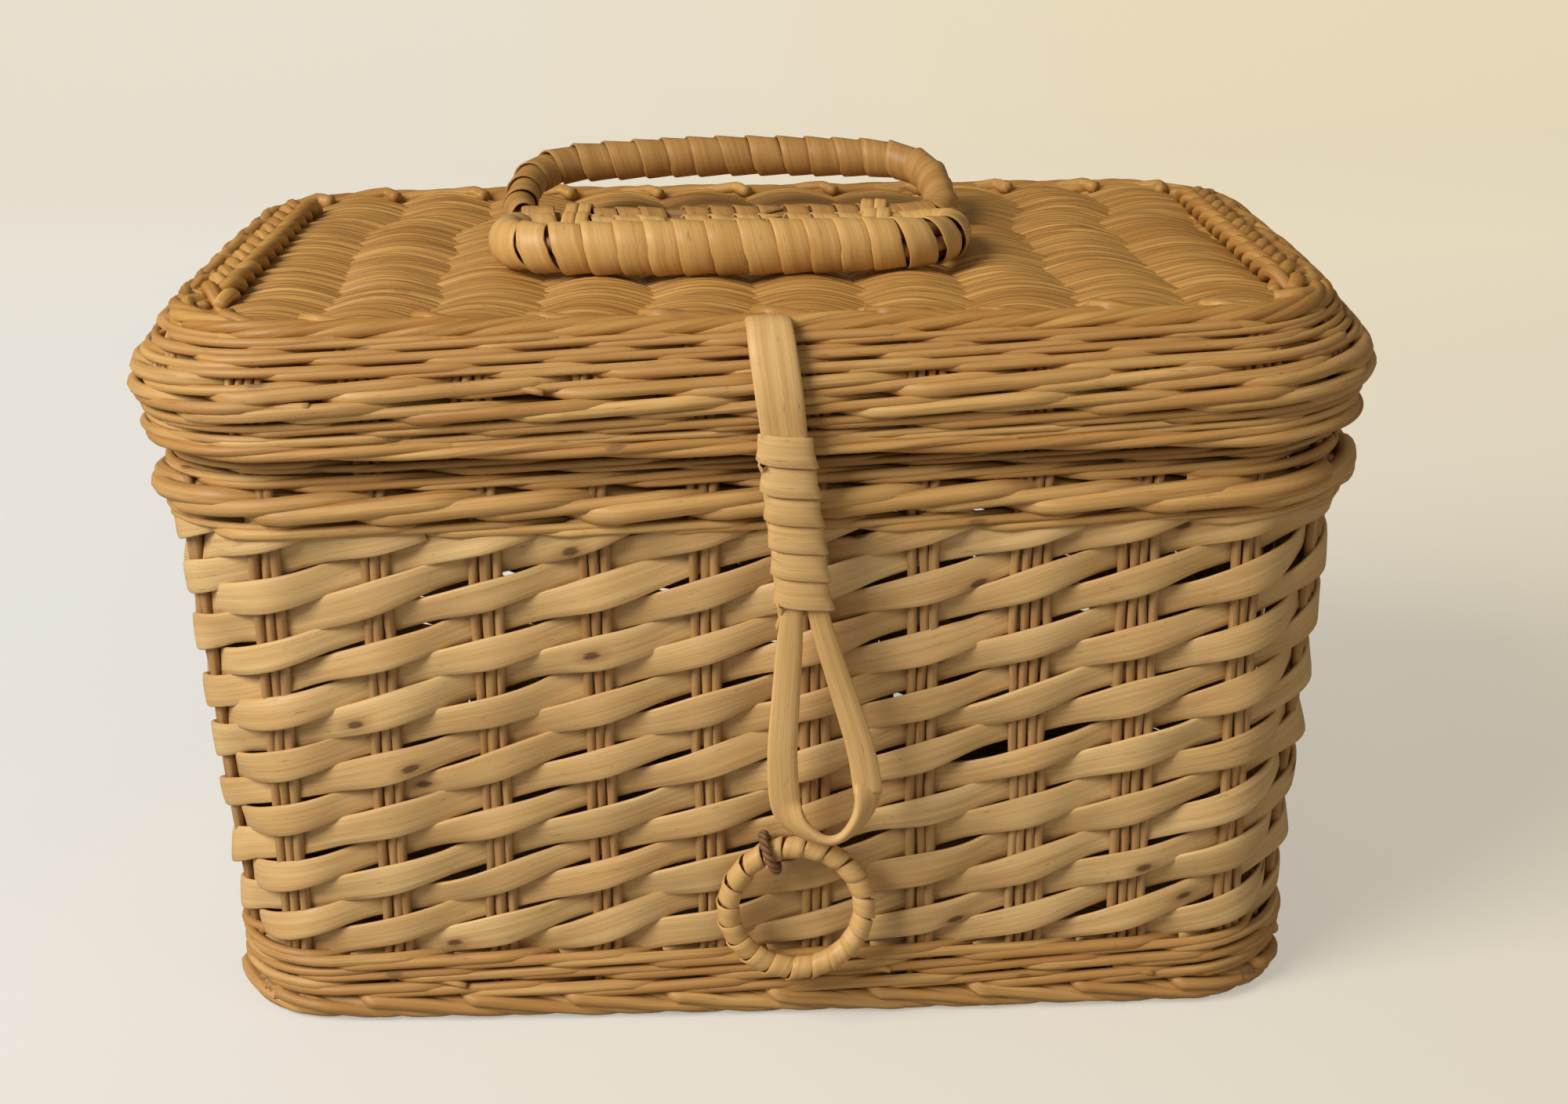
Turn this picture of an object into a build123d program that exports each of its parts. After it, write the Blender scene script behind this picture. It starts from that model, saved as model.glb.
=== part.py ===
"""Lidded rattan basket: an oblong woven hamper with a hinged lid, two folding handles and a loop latch."""

import os
from math import atan2, cos, degrees, radians, sin

from build123d import *

# Driving dimensions of the basket, in millimetres
skirt_half_x = 200.0
skirt_half_y = 126.0
wale_half_x = 198.0
wale_half_y = 120.0
foot_half_x = 185.5
foot_half_y = 108.0
side_bow = 3.0
end_bow = 2.0

# Heights of the bands of the basket body
foot_top = 10.0
base_bottom = 4.0
bottom_wale_top = 26.0
wall_top = 178.0
top_wale_top = 200.0
rim_top = 236.6

# Corner radii in plan
foot_corner = 38.0
wall_corner = 44.0
lid_corner = 47.0

# Wall thicknesses
foot_width = 9.5
weave_thickness = 5.5
rim_thickness = 5.0
skirt_thickness = 7.0
border_width = 10.0
wale_foot_inner_x = 177.0
wale_foot_inner_y = 100.0

# Upright canes of the wall, in groups of three
stake_groups = 34
stake_top = 199.7
front_groups = 10
end_groups = 7
cane_radius = 1.6
cane_pitch = 3.4
canes_in_group = 3
front_pitch_low = 35.2
front_pitch_high = 34.2
stake_clearance = 0.1

# Sticks in the base and in the lid
base_stick_radius = 2.3
lid_stick_radius = 2.1
stick_groups = 10
stick_group_pitch = 33.6
stick_pitch = 4.8
outer_stick_drop = 9.0
base_stick_clearance = 3.0
lid_stick_clearance = 1.5

# Lid
skirt_bottom = 211.0
lid_rim_radius = 3.25
lid_rim_height = 207.6
border_bottom = 238.0
border_top = 248.0
lid_weave_bottom = 239.0
lid_weave_top = 245.0
border_half_x = 187.5
border_half_y = 115.5
border_rounding = 3.0
border_corner_drop = 3.0
braid_width = 12.0
braid_height = 4.0
braid_half_length = 76.0
braid_gap = 2.5
braid_rounding = 1.8

# Cane hinges at the back
hinge_loop_x = 105.0
hinge_loop_width = 6.0
hinge_loop_gap = 0.4
hinge_loop_thickness = 2.2
hinge_anchor_y = 112.0
hinge_anchor_z = 190.0
hinge_window_clearance = 0.9
hinge_window_reach = 9.0

# Handles
handle_centre_x = -7.0
handle_bar_half = 60.0
handle_bar_radius = 4.5
handle_bar_height = 251.3
handle_core_share = 0.62
front_bar_y = -3.0
front_handle_tilt = 4.2
front_handle_thick = 17.6
front_handle_wide = 14.0
rear_bar_y = 13.0
rear_handle_tilt = 16.0
rear_handle_thick = 14.0
rear_handle_wide = 13.0
handle_reach = 52.0
lashing_offset = 52.0
lashing_width = 9.0
lashing_gap = 0.4
lashing_thickness = 2.0

# Latch cane with its teardrop loop
latch_top_x = 6.5
latch_pivot_y = -120.4
latch_pivot_z = 240.0
latch_width = 14.5
latch_thickness = 4.2
latch_bulge_y = -128.9
latch_shoulder_y = -126.8
latch_shoulder_z = 233.5
latch_bulge_z = 224.0
latch_straight_y = -128.1
latch_straight_z = 213.0
latch_end_x = 22.5
latch_end_y = -121.5
latch_end_z = 70.0
loop_thickness = 3.6
loop_outer_radius = 18.4
loop_inner_radius = 9.4
loop_apex_radius = 0.8
loop_apex_drop = 9.0
binding_top_drop = 2.0
binding_length = 57.0
binding_wall = 1.2
binding_rounding = 1.2
same_length = 0.01
tab_x = 4.0
tab_thickness = 3.0
tab_rise = 2.0
tab_tail_y = -103.0
tab_tail_sink = 2.0
tab_shoulder_y = -113.6
tab_front_y = -117.4
tab_bend_z = 246.4
tab_end_z = 243.4

# Ring on the front wall
ring_centre_x = 10.6
ring_centre_y = -114.6
ring_centre_z = 46.5
ring_radius = 22.4
ring_wrap_radius = 3.65
ring_core_radius = 2.6
ring_lashing_angle = 112.0
ring_lashing_radius = 6.25
ring_lashing_cane = 1.2

os.makedirs("parts", exist_ok=True)


def slope_at(height, low, high):
    """Half sizes and corner radius of a straight leaning wall at one height."""
    share = (height - low[0]) / (high[0] - low[0])
    return tuple(a + (b - a) * share for a, b in zip(low[1:], high[1:]))


# Outlines of the bands: height, half length, half depth, corner radius
foot_levels = [
    (0.0, foot_half_x - 1.5, foot_half_y - 1.5, foot_corner),
    (foot_top / 2, foot_half_x, foot_half_y, foot_corner),
    (foot_top, foot_half_x - 1.0, foot_half_y - 1.0, foot_corner),
]
wall_low = (bottom_wale_top, 183.5, 106.5, foot_corner)
wall_high = (wall_top, 192.5, 115.5, wall_corner)
bottom_wale_levels = [
    (foot_top, 184.0, 107.0, foot_corner),
    (bottom_wale_top, 184.5, 107.5, foot_corner),
]
top_wale_levels = [
    (wall_top, 194.0, 117.0, wall_corner),
    (wall_top + 11.0, wale_half_x, wale_half_y, wall_corner + 2.0),
    (top_wale_top, 196.0, 118.5, wall_corner + 1.0),
]
rim_levels = [
    (top_wale_top, 190.0, 113.0, wall_corner - 5.0),
    (top_wale_top + 4.0, 187.0, 110.5, wall_corner - 7.0),
    (rim_top, 181.5, 105.0, wall_corner - 9.0),
]
skirt_levels = [
    (skirt_bottom, 197.5, 123.5, lid_corner),
    (skirt_bottom + 11.0, skirt_half_x, skirt_half_y, lid_corner + 1.0),
    (border_bottom - 6.0, 196.0, 122.5, lid_corner),
    (border_bottom, 189.0, 117.0, lid_corner - 2.0),
]


def oblong(height, half_x, half_y, radius):
    """Rounded oblong whose four sides bow out a little."""
    corner_x = half_x - end_bow
    corner_y = half_y - side_bow
    with BuildSketch(Plane.XY.offset(height)) as outline:
        with BuildLine():
            ThreePointArc((-corner_x, -corner_y), (0, -half_y), (corner_x, -corner_y))
            ThreePointArc((corner_x, -corner_y), (half_x, 0), (corner_x, corner_y))
            ThreePointArc((corner_x, corner_y), (0, half_y), (-corner_x, corner_y))
            ThreePointArc((-corner_x, corner_y), (-half_x, 0), (-corner_x, -corner_y))
        make_face()
        fillet(outline.vertices(), radius)
    return outline.sketch


def oblong_loft(levels, inset=0.0, mode=Mode.ADD):
    """Loft through rounded oblongs, each drawn in by the inset."""
    sections = []
    for height, half_x, half_y, radius in levels:
        sections.append(oblong(height, half_x - inset, half_y - inset, radius - inset).face())
    loft(sections, ruled=len(levels) == 2, mode=mode)


def oblong_slab(height, thickness, half_x, half_y, radius, mode=Mode.ADD):
    """Flat slab with the rounded oblong outline."""
    extrude(oblong(height, half_x, half_y, radius), amount=thickness, mode=mode)


def save(piece, name):
    """Label one finished piece and write it under its name."""
    piece.part.label = name
    export_step(piece.part, f"parts/{name}.step")


# Rolled foot border, cut flat where it rests
foot_hole = (foot_half_x - foot_width, foot_half_y - foot_width, foot_corner - foot_width)
with BuildPart() as foot_border:
    oblong_loft(foot_levels)
    oblong_slab(0.0, foot_top, *foot_hole, mode=Mode.SUBTRACT)
save(foot_border, "foot_border")


def add_sticks(half_length, height, radius, mode=Mode.ADD):
    """Pairs of round sticks that run front to back, the outer ones shorter for the round corners."""
    for group in range(stick_groups):
        outer = group in (0, stick_groups - 1)
        half = half_length - (outer_stick_drop if outer else 0.0)
        middle = (group - (stick_groups - 1) / 2) * stick_group_pitch
        with BuildSketch(Plane.XZ.offset(-half)) as ends:
            with Locations((middle - stick_pitch / 2, height), (middle + stick_pitch / 2, height)):
                Circle(radius)
        extrude(ends.sketch, amount=2 * half, mode=mode)


# Base: split sticks half sunk in the underside of a woven panel
base_stick_half = foot_half_y - foot_width - base_stick_clearance
with BuildPart() as base_sticks:
    add_sticks(base_stick_half, base_bottom, base_stick_radius)
save(base_sticks, "base_sticks")

with BuildPart() as base_weave:
    oblong_slab(base_bottom, foot_top - base_bottom, *foot_hole)
    add_sticks(base_stick_half, base_bottom, base_stick_radius, mode=Mode.SUBTRACT)
save(base_weave, "base_weave")

# Waled band above the foot
wall_inner_low = (bottom_wale_top,) + tuple(size - weave_thickness for size in wall_low[1:])
wall_inner_high = (wall_top,) + tuple(size - weave_thickness for size in wall_high[1:])
inner_wale_levels = [
    (foot_top, wale_foot_inner_x, wale_foot_inner_y, foot_corner - foot_width),
    wall_inner_low,
]
with BuildPart() as bottom_wale:
    oblong_loft(bottom_wale_levels)
    oblong_loft(inner_wale_levels, mode=Mode.SUBTRACT)
save(bottom_wale, "bottom_wale")

# Cane tie that holds the ring, sunk a little in the wall
lashing_turn = radians(ring_lashing_angle)
ring_pivot = Vector(
    ring_centre_x + ring_radius * cos(lashing_turn),
    ring_centre_y,
    ring_centre_z + ring_radius * sin(lashing_turn),
)
ring_tangent = Vector(-sin(lashing_turn), 0, cos(lashing_turn))
ring_lashing_plane = Plane(origin=ring_pivot, x_dir=(0, 1, 0), z_dir=ring_tangent)
with BuildPart(ring_lashing_plane) as ring_lashing:
    Torus(ring_lashing_radius, ring_lashing_cane)
save(ring_lashing, "ring_lashing")

# Woven wall, one tapered shell
with BuildPart() as wall_weave:
    oblong_loft([wall_low, wall_high])
    oblong_loft([wall_inner_low, wall_inner_high], mode=Mode.SUBTRACT)
    add(ring_lashing.part, mode=Mode.SUBTRACT)
save(wall_weave, "wall_weave")


def stake_wire(height, inset):
    """Outline that the upright canes follow at one height."""
    half_x, half_y, radius = slope_at(height, wall_inner_low, wall_inner_high)
    wire = oblong(height, half_x - inset, half_y - inset, radius - inset).face().outer_wire()
    start = wire.param_at_point(Vector(0, -half_y + inset, height))
    return wire, start


stake_inset = cane_radius + stake_clearance
low_wire, low_start = stake_wire(bottom_wale_top, stake_inset)
high_wire, high_start = stake_wire(stake_top, stake_inset)


def wire_point(wire, start, distance):
    """Point at a distance along the outline, anticlockwise from the middle of the front."""
    return wire.position_at((start + distance / wire.length) % 1.0)


def runs_anticlockwise(wire, start):
    """True where the outline leaves the middle of the front towards plus X."""
    return wire.position_at((start + 0.01) % 1.0).X > 0


turn_sign = 1 if runs_anticlockwise(low_wire, low_start) else -1


def group_distance(group, length, front_pitch):
    """Distance of a group's middle along the outline: even on each side, and even round each end."""
    half_front = front_groups / 2
    end_pitch = (length / 2 - front_groups * front_pitch) / end_groups
    place = (group + 0.5) % (stake_groups / 2)
    start = 0.0 if group + 0.5 < stake_groups / 2 else length / 2
    in_ends = min(max(place - half_front, 0.0), end_groups)
    return start + (place - in_ends) * front_pitch + in_ends * end_pitch


def add_stakes(first, count):
    """Groups of upright canes, each cane its own solid, leaning with the wall."""
    for numbered in range(first, first + count):
        group = numbered % stake_groups
        low_middle = group_distance(group, low_wire.length, front_pitch_low)
        high_middle = group_distance(group, high_wire.length, front_pitch_high)
        for cane in range(canes_in_group):
            shift = (cane - (canes_in_group - 1) / 2) * cane_pitch
            low_distance = turn_sign * (low_middle + shift)
            high_distance = turn_sign * (high_middle + shift)
            low_point = wire_point(low_wire, low_start, low_distance)
            high_point = wire_point(high_wire, high_start, high_distance)
            lean = high_point - low_point
            with BuildSketch(Plane(origin=low_point, z_dir=lean)) as cane_end:
                Circle(cane_radius)
            extrude(cane_end.sketch, amount=lean.length)


stake_runs = {
    "front_stakes": (-front_groups // 2, front_groups),
    "right_stakes": (front_groups // 2, end_groups),
    "back_stakes": (front_groups // 2 + end_groups, front_groups),
    "left_stakes": (front_groups // 2 + end_groups + front_groups, end_groups),
}
for run_name, (first_group, group_count) in stake_runs.items():
    with BuildPart() as stakes:
        add_stakes(first_group, group_count)
    save(stakes, run_name)


# Cane hinges at the back: each is a flat link round the lid's lowest rod, sunk in the top wale
lid_rim_half_x = skirt_levels[0][1] - lid_rim_radius
lid_rim_half_y = skirt_levels[0][2] - lid_rim_radius
hinge_y = lid_rim_half_y - side_bow * (hinge_loop_x / (lid_rim_half_x - end_bow)) ** 2
hinge_z = lid_rim_height
hinge_inner_radius = lid_rim_radius + hinge_loop_gap
hinge_outer_radius = hinge_inner_radius + hinge_loop_thickness
hinge_span = Vector(hinge_y - hinge_anchor_y, hinge_z - hinge_anchor_z).length
hinge_lean = degrees(atan2(hinge_z - hinge_anchor_z, hinge_y - hinge_anchor_y))
hinge_middle = ((hinge_y + hinge_anchor_y) / 2, (hinge_z + hinge_anchor_z) / 2)


def hinge_loop(place_x):
    """One hinge link, a slot-shaped band of wrapped cane."""
    with BuildPart() as loop:
        with BuildSketch(Plane.YZ.offset(place_x)):
            with Locations(hinge_middle):
                SlotCenterToCenter(hinge_span, 2 * hinge_outer_radius, rotation=hinge_lean)
                SlotCenterToCenter(
                    hinge_span, 2 * hinge_inner_radius, rotation=hinge_lean, mode=Mode.SUBTRACT
                )
        extrude(amount=hinge_loop_width / 2, both=True)
    return loop


hinge_loop_left = hinge_loop(-hinge_loop_x)
hinge_loop_right = hinge_loop(hinge_loop_x)
save(hinge_loop_left, "hinge_loop_left")
save(hinge_loop_right, "hinge_loop_right")

# Bulging waled band at the top of the wall
inner_top_wale_levels = [
    wall_inner_high,
    (top_wale_top,) + slope_at(top_wale_top, wall_inner_low, wall_inner_high),
]
with BuildPart() as top_wale:
    oblong_loft(top_wale_levels)
    oblong_loft(inner_top_wale_levels, mode=Mode.SUBTRACT)
    add(hinge_loop_left.part, mode=Mode.SUBTRACT)
    add(hinge_loop_right.part, mode=Mode.SUBTRACT)
save(top_wale, "top_wale")

# Upstanding rim that the lid drops over, relieved round the hinge links
with BuildPart() as body_rim:
    oblong_loft(rim_levels)
    oblong_loft(rim_levels, inset=rim_thickness, mode=Mode.SUBTRACT)
    for place_x in (-hinge_loop_x, hinge_loop_x):
        with BuildSketch(Plane.YZ.offset(place_x)):
            with Locations(hinge_middle):
                SlotCenterToCenter(
                    hinge_span, 2 * (hinge_outer_radius + hinge_loop_gap), rotation=hinge_lean
                )
        extrude(amount=hinge_loop_width / 2 + hinge_loop_gap, both=True, mode=Mode.SUBTRACT)
save(body_rim, "body_rim")

# Lowest rod of the lid, which the lid turns on
rim_outline = oblong(lid_rim_height, lid_rim_half_x, lid_rim_half_y, lid_corner - lid_rim_radius)
rim_wire = rim_outline.face().outer_wire()
rim_section_plane = Plane(origin=rim_wire @ 0, z_dir=rim_wire % 0)
with BuildPart() as lid_rim:
    with BuildSketch(rim_section_plane):
        Circle(lid_rim_radius)
    sweep(path=rim_wire, transition=Transition.RIGHT)
save(lid_rim, "lid_rim")

# Flared skirt of the lid, with a window over each hinge link
window_radius = hinge_outer_radius + hinge_window_clearance
with BuildPart() as lid_skirt:
    oblong_loft(skirt_levels)
    oblong_loft(skirt_levels, inset=skirt_thickness, mode=Mode.SUBTRACT)
    for place_x in (-hinge_loop_x, hinge_loop_x):
        with BuildSketch(Plane.YZ.offset(place_x)):
            with Locations((hinge_y + hinge_window_reach / 2, hinge_z)):
                SlotCenterToCenter(hinge_window_reach, 2 * window_radius)
        extrude(amount=hinge_loop_width / 2 + hinge_window_clearance, both=True, mode=Mode.SUBTRACT)
    add(lid_rim.part, mode=Mode.SUBTRACT)
save(lid_skirt, "lid_skirt")

# Rolled border round the lid panel
border_corner = lid_corner - border_corner_drop
border_hole = (border_half_x - border_width, border_half_y - border_width, border_corner - border_width)
with BuildPart() as lid_border:
    oblong_slab(border_bottom, border_top - border_bottom, border_half_x, border_half_y, border_corner)
    fillet(lid_border.faces().sort_by(Axis.Z)[-1].edges(), border_rounding)
    oblong_slab(border_bottom, border_top - border_bottom, *border_hole, mode=Mode.SUBTRACT)
save(lid_border, "lid_border")

# Lid sticks, half sunk in the underside of the woven panel
lid_stick_half = border_half_y - border_width - lid_stick_clearance
with BuildPart() as lid_sticks:
    add_sticks(lid_stick_half, lid_weave_bottom, lid_stick_radius)
save(lid_sticks, "lid_sticks")


# Cane ties that hold the handle bars down, sunk a little in the panel
def handle_lashing(bar_y, place_x):
    """One ring of wrapped cane round a handle bar."""
    with BuildPart() as lashing:
        with BuildSketch(Plane.YZ.offset(place_x)):
            with Locations((bar_y, handle_bar_height)):
                Circle(handle_bar_radius + lashing_gap + lashing_thickness)
                Circle(handle_bar_radius + lashing_gap, mode=Mode.SUBTRACT)
        extrude(amount=lashing_width / 2, both=True)
    return lashing


lashings = {}
for bar_name, bar_y in (("front", front_bar_y), ("rear", rear_bar_y)):
    for end_name, end_sign in (("left", -1), ("right", 1)):
        lashing_x = handle_centre_x + end_sign * lashing_offset
        lashings[f"{bar_name}_handle_lashing_{end_name}"] = handle_lashing(bar_y, lashing_x)
for lashing_name, lashing in lashings.items():
    save(lashing, lashing_name)

# Fixed top of the latch cane, bent over the front border and tucked into the panel
tab_top = border_top + tab_rise
tab_points = [
    (tab_tail_y, lid_weave_top - tab_tail_sink),
    (tab_tail_y - tab_tail_sink, tab_top),
    (tab_shoulder_y, tab_top),
    (tab_front_y, tab_bend_z),
    (tab_front_y, tab_end_z),
]
with BuildPart() as latch_tab:
    with BuildSketch(Plane.YZ.offset(tab_x)):
        with BuildLine():
            Polyline(*tab_points)
        trace(line_width=tab_thickness)
    extrude(amount=latch_width / 2, both=True)
    add(lid_border.part, mode=Mode.SUBTRACT)
save(latch_tab, "latch_tab")

# Woven panel of the lid
with BuildPart() as lid_weave:
    oblong_slab(lid_weave_bottom, lid_weave_top - lid_weave_bottom, *border_hole)
    add_sticks(lid_stick_half, lid_weave_bottom, lid_stick_radius, mode=Mode.SUBTRACT)
    for lashing in lashings.values():
        add(lashing.part, mode=Mode.SUBTRACT)
    add(latch_tab.part, mode=Mode.SUBTRACT)
save(lid_weave, "lid_weave")

# Plaited ends that lie on the panel
braid_x = border_half_x - border_width - braid_width / 2 - braid_gap
for braid_name, braid_sign in (("lid_side_braid_left", -1), ("lid_side_braid_right", 1)):
    with BuildPart() as braid:
        with BuildSketch(Plane.XY.offset(lid_weave_top)):
            with Locations((braid_sign * braid_x, 0)):
                SlotOverall(2 * braid_half_length, braid_width, rotation=90)
        extrude(amount=braid_height)
        fillet(braid.faces().sort_by(Axis.Z)[-1].edges(), braid_rounding)
    save(braid, braid_name)

# Outline of a handle bow, from one end of its bar round to the other, and its corner radii
bow_points = [
    (-handle_bar_half, 0.0),
    (-76.0, 0.0),
    (-73.0, -46.0),
    (0.0, -handle_reach - 1.0),
    (73.0, -46.0),
    (76.0, 0.0),
    (handle_bar_half, 0.0),
]
bow_radii = [12.0, 24.0, 200.0, 24.0, 12.0]
bow_stations = 25
bow_fullness_power = 0.9


def handle_tube(frame_plane, thick, wide, bar_radius):
    """Closed D of oval section: a straight round bar and a bow that thickens away from it."""
    with BuildLine(frame_plane) as bow:
        FilletPolyline(*bow_points, radius=bow_radii)
    path = bow.wire()
    normal = frame_plane.z_dir
    sections = []
    for station in range(bow_stations):
        share = station / (bow_stations - 1)
        fullness = max(0.0, sin(share * radians(180))) ** bow_fullness_power
        half_thick = bar_radius + (thick / 2 - bar_radius) * fullness
        half_wide = bar_radius + (wide / 2 - bar_radius) * fullness
        with BuildSketch(Plane(origin=path @ share, x_dir=normal, z_dir=path % share)) as section:
            Ellipse(half_thick, half_wide)
        sections.append(section.sketch.face())
    loft(sections)
    with BuildSketch(Plane(origin=path @ 0, x_dir=normal, z_dir=frame_plane.x_dir)) as bar_end:
        Circle(bar_radius)
    extrude(bar_end.sketch, amount=2 * handle_bar_half)


def handle_frame(bar_y, tilt, back):
    """Plane of a handle: X along its bar, minus Y towards its bow."""
    turn = radians(tilt)
    if back:
        across = Vector(0, -cos(turn), -sin(turn))
        normal = Vector(1, 0, 0).cross(across)
    else:
        across = Vector(0, cos(turn), -sin(turn))
        normal = Vector(1, 0, 0).cross(across)
    origin = Vector(handle_centre_x, bar_y, handle_bar_height)
    return Plane(origin=origin, x_dir=(1, 0, 0), z_dir=normal)


def build_handle(name, bar_y, tilt, back, thick, wide):
    """Core of rods and the cane wrapping round it."""
    frame_plane = handle_frame(bar_y, tilt, back)
    with BuildPart() as core:
        handle_tube(
            frame_plane,
            thick * handle_core_share,
            wide * handle_core_share,
            handle_bar_radius * handle_core_share,
        )
    with BuildPart() as wrap:
        handle_tube(frame_plane, thick, wide, handle_bar_radius)
        add(core.part, mode=Mode.SUBTRACT)
    save(core, f"{name}_handle_core")
    save(wrap, f"{name}_handle_wrap")


build_handle("front", front_bar_y, front_handle_tilt, False, front_handle_thick, front_handle_wide)
build_handle("rear", rear_bar_y, rear_handle_tilt, True, rear_handle_thick, rear_handle_wide)

# Latch cane: its bent upper part, then a split part that opens into a teardrop loop
latch_start = Vector(latch_top_x, latch_straight_y, latch_straight_z)
latch_end = Vector(latch_end_x, latch_end_y, latch_end_z)
latch_down = (latch_end - latch_start).normalized()
latch_length = (latch_end - latch_start).length
latch_side = Vector(-latch_down.Z, 0, latch_down.X).normalized()
latch_plane = Plane(origin=latch_start, x_dir=latch_side, z_dir=latch_side.cross(-latch_down))
binding_end = binding_top_drop + binding_length
loop_centre_drop = latch_length - loop_outer_radius

with BuildPart() as latch_strap:
    with BuildSketch(Plane.YZ.offset(latch_top_x)):
        with BuildLine():
            Polyline(
                (latch_pivot_y, latch_pivot_z),
                (latch_shoulder_y, latch_shoulder_z),
                (latch_bulge_y, latch_bulge_z),
                (latch_straight_y, latch_straight_z),
            )
        trace(line_width=latch_thickness)
        with Locations((latch_pivot_y, latch_pivot_z)):
            Circle(latch_thickness / 2)
    extrude(amount=latch_width / 2, both=True)
    with BuildSketch(latch_plane):
        with BuildLine():
            CenterArc((0, -loop_centre_drop), loop_outer_radius, 180, 180)
            Line((-loop_outer_radius, -loop_centre_drop), (-latch_width / 2, -binding_end))
            Line((-latch_width / 2, -binding_end), (-latch_width / 2, 0))
            Line((-latch_width / 2, 0), (latch_width / 2, 0))
            Line((latch_width / 2, 0), (latch_width / 2, -binding_end))
            Line((latch_width / 2, -binding_end), (loop_outer_radius, -loop_centre_drop))
        make_face()
        with BuildLine():
            CenterArc((0, -loop_centre_drop), loop_inner_radius, 180, 180)
            Line((-loop_inner_radius, -loop_centre_drop), (-loop_apex_radius, -binding_end - loop_apex_drop))
            Line((-loop_apex_radius, -binding_end - loop_apex_drop), (loop_apex_radius, -binding_end - loop_apex_drop))
            Line((loop_apex_radius, -binding_end - loop_apex_drop), (loop_inner_radius, -loop_centre_drop))
        make_face(mode=Mode.SUBTRACT)
    extrude(amount=loop_thickness / 2, both=True)
save(latch_strap, "latch_strap")

# Cane binding round the latch above its loop
with BuildPart() as latch_binding:
    with BuildSketch(latch_plane):
        with Locations((0, -(binding_top_drop + binding_end) / 2)):
            Rectangle(latch_width + 2 * binding_wall, binding_length)
    extrude(amount=loop_thickness / 2 + binding_wall, both=True)
    long_edges = latch_binding.edges().filter_by(lambda edge: abs(edge.length - binding_length) < same_length)
    fillet(long_edges, binding_rounding)
    add(latch_strap.part, mode=Mode.SUBTRACT)
save(latch_binding, "latch_binding")

# Ring on the front wall: a hoop of canes inside a cane wrapping
ring_plane = Plane(origin=(ring_centre_x, ring_centre_y, ring_centre_z), z_dir=(0, -1, 0))
with BuildPart(ring_plane) as ring_core:
    Torus(ring_radius, ring_core_radius)
save(ring_core, "ring_core")

with BuildPart(ring_plane) as ring_wrap:
    Torus(ring_radius, ring_wrap_radius)
    Torus(ring_radius, ring_core_radius, mode=Mode.SUBTRACT)
save(ring_wrap, "ring_wrap")

print("lid hinge at", round(hinge_y, 2), round(hinge_z, 2))
print("ring hinge at", [round(value, 2) for value in (ring_pivot.X, ring_pivot.Y, ring_pivot.Z)])
print("latch hinge at", latch_pivot_y, latch_pivot_z)
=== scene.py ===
import bpy
import numpy as np
from mathutils import Matrix, Vector


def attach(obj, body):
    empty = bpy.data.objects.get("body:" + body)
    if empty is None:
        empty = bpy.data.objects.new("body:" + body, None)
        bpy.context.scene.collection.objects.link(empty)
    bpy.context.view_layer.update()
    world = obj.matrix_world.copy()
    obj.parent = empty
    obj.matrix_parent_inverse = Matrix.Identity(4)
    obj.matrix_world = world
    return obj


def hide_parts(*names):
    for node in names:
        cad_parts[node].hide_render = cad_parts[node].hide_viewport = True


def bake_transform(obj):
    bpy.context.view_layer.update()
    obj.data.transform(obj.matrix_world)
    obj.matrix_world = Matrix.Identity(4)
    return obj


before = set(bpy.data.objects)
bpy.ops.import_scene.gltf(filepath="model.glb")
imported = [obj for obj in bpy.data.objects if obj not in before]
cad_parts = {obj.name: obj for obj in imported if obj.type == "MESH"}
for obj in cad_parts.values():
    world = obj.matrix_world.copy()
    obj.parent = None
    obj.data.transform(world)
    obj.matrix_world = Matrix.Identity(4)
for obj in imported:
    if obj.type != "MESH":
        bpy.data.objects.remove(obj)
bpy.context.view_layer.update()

mm = 0.001  # every shape below is worked out in millimetres
dice = np.random.default_rng(1907)

# What the whole basket shares: millimetres, heights above the floor
basketForm = {
    "stakeGroups": 34,
    "frontGroups": 10,
    "frontPitch": (35.2, 34.2),  # spacing of the front's groups at the foot and at the top of the wall
    "wallHalves": (178.9, 188.6),  # half length of the line of stakes at those two heights
    "sideBow": 3.0,
    "endBow": 2.0,
    "stakeRadius": 1.65,
}
# Line of the upright canes: height, half length, half depth, corner radius
stakeTable = np.array([
    (4.0, 176.5, 99.5, 33.0),
    (10.0, 178.2, 101.2, 33.0),
    (26.0, 178.9, 101.9, 33.5),
    (178.0, 188.6, 111.6, 40.0),
    (189.0, 189.2, 112.2, 41.0),
    (204.0, 184.4, 107.9, 36.0),
    (237.0, 179.0, 102.5, 34.0),
])
# Line of the lid's own uprights, in the same order
lidStakeTable = np.array([
    (205.0, 190.6, 116.6, 43.0),
    (211.0, 191.6, 117.6, 43.0),
    (222.0, 194.1, 120.1, 44.0),
    (232.0, 190.3, 116.8, 42.0),
    (238.0, 185.0, 112.4, 41.0),
    (247.0, 181.0, 109.0, 38.0),
])


def unit(vectors):
    # each vector divided by its own length
    return vectors / np.maximum(np.linalg.norm(vectors, axis=-1, keepdims=True), 1e-9)


def drift(rows, steps, knots, amount, closed=False):
    # smooth random wander: random values at even knots, eased between them with 3f^2 - 2f^3
    values = dice.normal(0.0, amount, (rows, knots + 2))
    if closed:
        values[:, knots] = values[:, 0]
    place = np.linspace(0, knots, steps, endpoint=not closed)
    cell = np.minimum(place.astype(int), knots - 1)
    part = place - cell
    part = part * part * (3 - 2 * part)
    return values[:, cell] * (1 - part) + values[:, cell + 1] * part


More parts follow.
